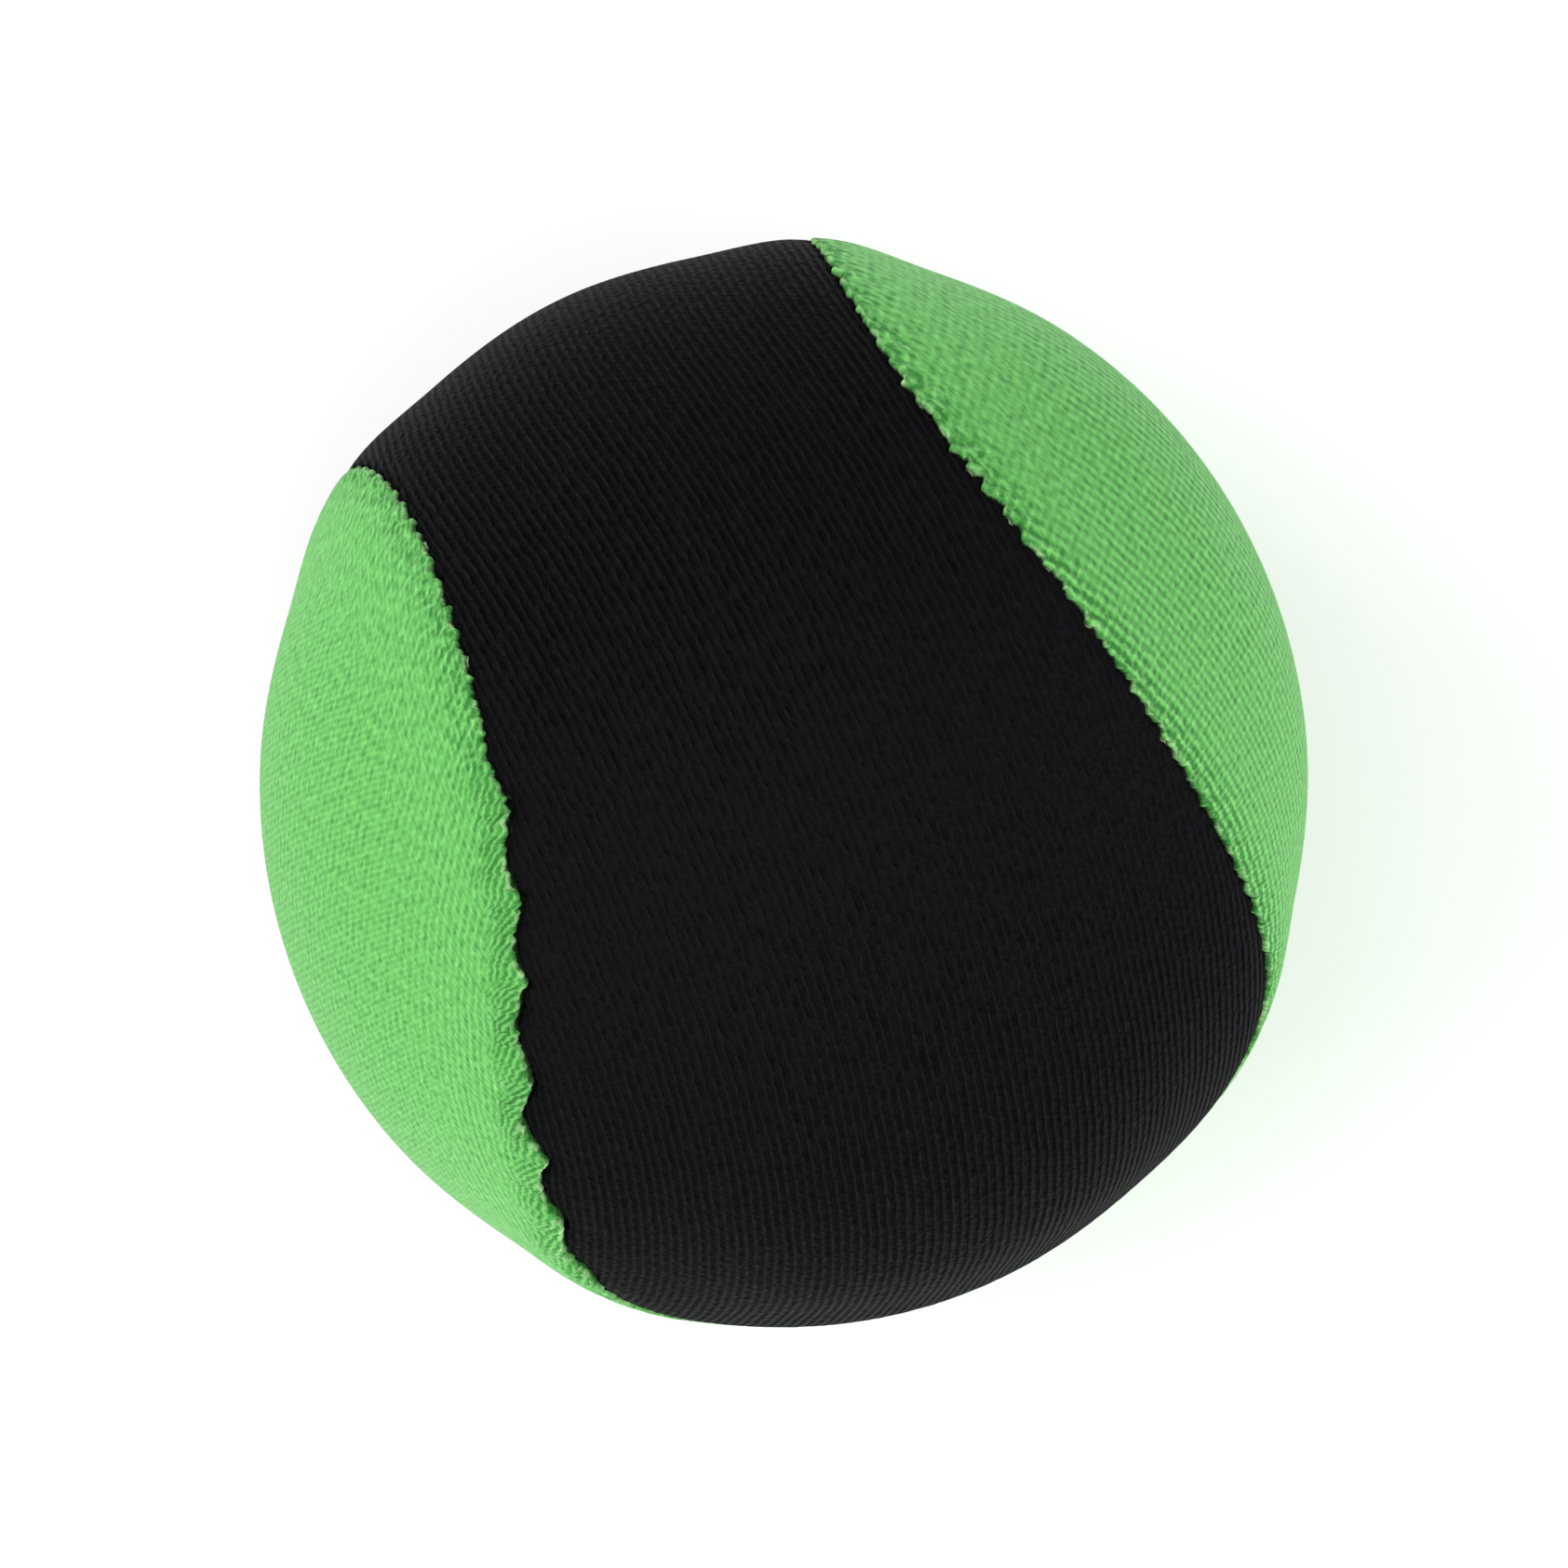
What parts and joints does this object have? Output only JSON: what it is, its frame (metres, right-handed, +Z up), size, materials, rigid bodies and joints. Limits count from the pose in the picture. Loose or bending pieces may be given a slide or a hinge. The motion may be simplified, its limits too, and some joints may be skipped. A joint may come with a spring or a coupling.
{
  "type": "juggling ball",
  "caption": "Soft gel-filled juggling ball with an interlocking green and black stretch-knit cover, sewn along one wavy seam and lying on a slightly flattened side.",
  "frame": {"origin": "middle of the flattened rest patch, on the plane that the ball lies on", "axes": "+Z up, away from the surface that the ball lies on; +Y is the ball's slightly longer horizontal way; +X to the right of it"},
  "size_m": [0.055, 0.0565, 0.055],
  "materials": {
    "knit_green": "stretch jersey knit, soft sheen",
    "knit_black": "stretch jersey knit, matt with a faint sheen",
    "seam_thread": "twisted polyester sewing thread, pale grey-green",
    "bladder_rubber": "soft thermoplastic rubber, satin",
    "plug_rubber": "soft thermoplastic rubber, satin",
    "gel": "water-clear soft gel, glossy"
  },
  "bodies": {
    "root": {"cover_panel_green": "knit_green", "cover_panel_black": "knit_black", "overlock_needle_thread": "seam_thread", "overlock_upper_looper_thread": "seam_thread", "overlock_lower_looper_thread": "seam_thread", "closing_thread": "seam_thread", "bladder": "bladder_rubber", "bladder_plug": "plug_rubber", "gel_filling": "gel"}
  },
  "joints": []
}
